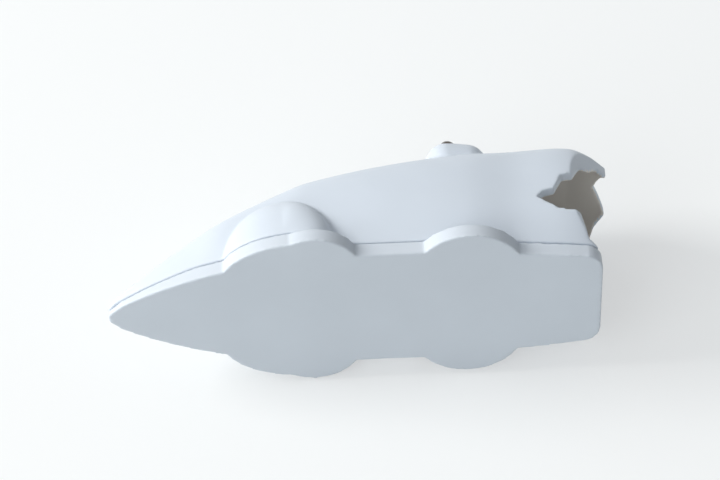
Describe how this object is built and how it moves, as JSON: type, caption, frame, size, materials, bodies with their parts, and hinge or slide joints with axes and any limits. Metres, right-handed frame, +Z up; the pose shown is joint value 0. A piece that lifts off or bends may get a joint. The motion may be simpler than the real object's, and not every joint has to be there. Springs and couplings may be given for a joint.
{
  "type": "toothbrush cover",
  "caption": "Animal-shaped hollow cover for a toothbrush head, with a hinged belly lid on foot pads and an open toothed mouth that the brush neck passes through.",
  "frame": {"origin": "centre of the bounding box at the surface that the cover lies on", "axes": "+X along the body from the tail to the nose, +Z up, and the flat belly face looks towards -Y, leaning back 9.5 degrees"},
  "size_m": [0.0546, 0.0217, 0.0212],
  "materials": {
    "shell": "matte moulded",
    "lid": "matte moulded",
    "pin": "smooth",
    "eyes": "gloss"
  },
  "bodies": {
    "shell": {"upper_shell": "shell", "eye_beads": "eyes"},
    "lid": {"belly_lid": "lid", "hinge_pin": "pin"}
  },
  "joints": [
    {"name": "lid_hinge", "type": "hinge", "parent": "shell", "child": "lid", "pos_m": [0.0025, -0.00761, 0.00128], "axis": [1, 0, 0], "range_deg": [0, 100]}
  ]
}
